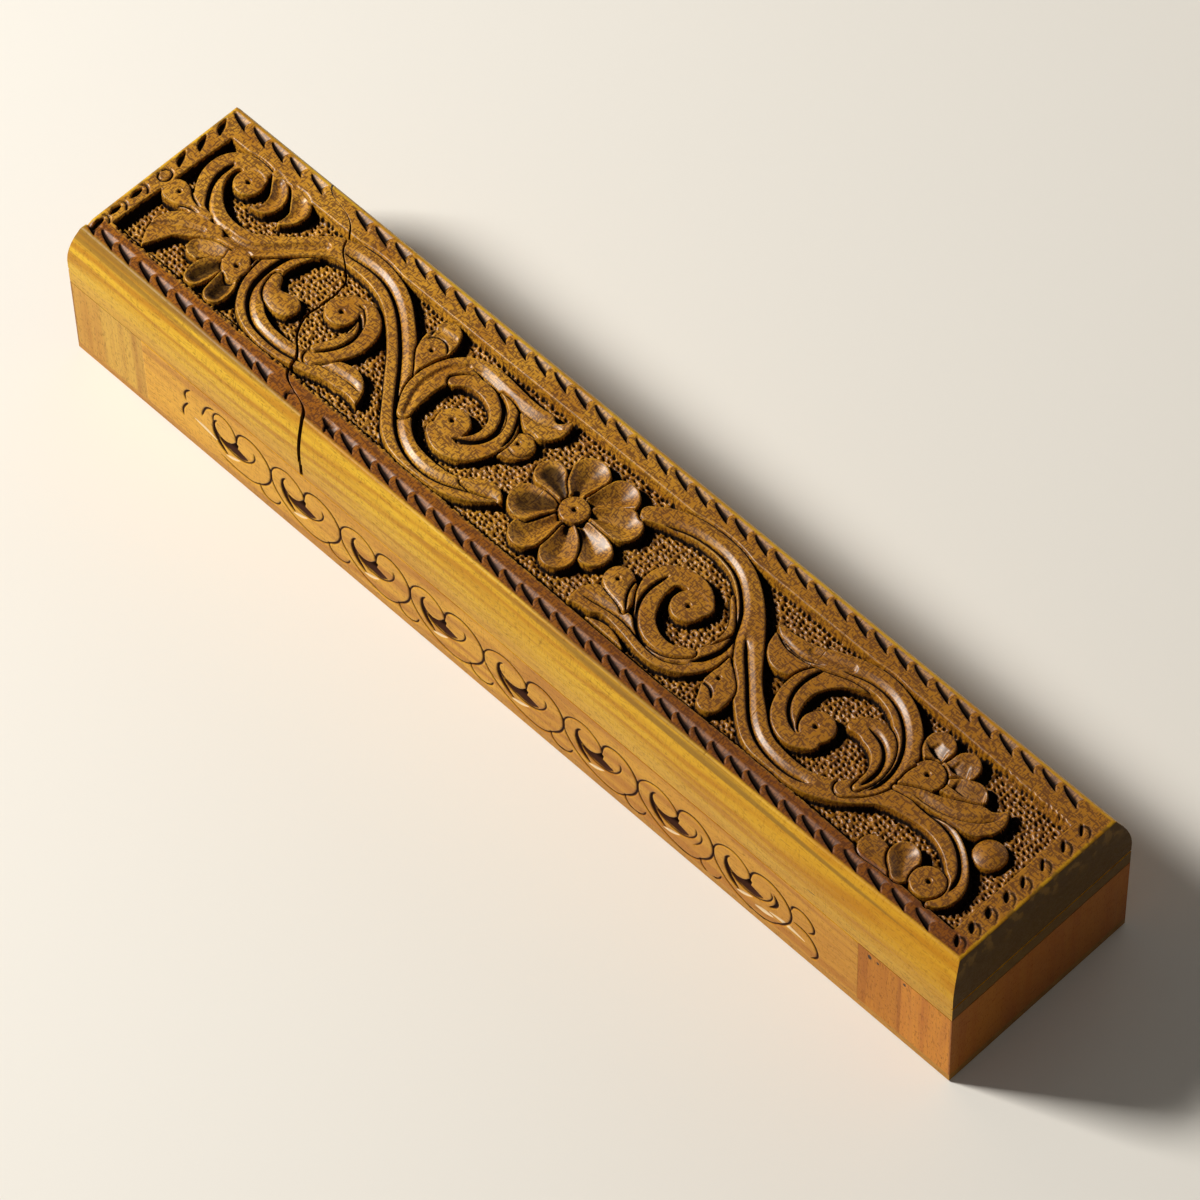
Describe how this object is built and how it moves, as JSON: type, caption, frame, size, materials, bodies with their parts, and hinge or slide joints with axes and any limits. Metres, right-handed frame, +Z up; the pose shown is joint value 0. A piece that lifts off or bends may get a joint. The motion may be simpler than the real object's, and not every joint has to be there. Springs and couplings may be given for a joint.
{
  "type": "puzzle box",
  "caption": "Long carved wooden box whose lid is parted by a wavy cut; the lid halves slide apart on hidden runners over a narrow compartment.",
  "frame": {"origin": "middle of the underside", "axes": "+X along the box towards the end of the long lid half, +Y to the back, +Z up through the carved lid"},
  "size_m": [0.23, 0.046, 0.0368],
  "materials": {
    "carved_wood": "satin varnish over stained carving",
    "lath_wood": "satin varnish",
    "body_wood": "satin varnish",
    "end_wood": "satin varnish",
    "inner_wood": "bare, planed"
  },
  "bodies": {
    "box_body": {"bottom_board": "body_wood", "front_side_board": "body_wood", "back_side_board": "body_wood", "left_end_block": "end_wood", "right_end_block": "end_wood", "left_end_board": "end_wood", "right_end_board": "end_wood", "front_ledge": "inner_wood", "back_ledge": "inner_wood"},
    "short_lid": {"short_lid_plank": "carved_wood", "short_lid_lath": "lath_wood", "short_front_runner": "inner_wood", "short_back_runner": "inner_wood"},
    "long_lid": {"long_lid_plank": "carved_wood", "long_lid_lath": "lath_wood", "long_front_runner": "inner_wood", "long_back_runner": "inner_wood"}
  },
  "joints": [
    {"name": "short_lid_slide", "type": "slide", "parent": "box_body", "child": "short_lid", "axis": [-1, 0, 0], "range_m": [0, 0.0115]},
    {"name": "long_lid_slide", "type": "slide", "parent": "box_body", "child": "long_lid", "axis": [1, 0, 0], "range_m": [0, 0.1064]}
  ]
}
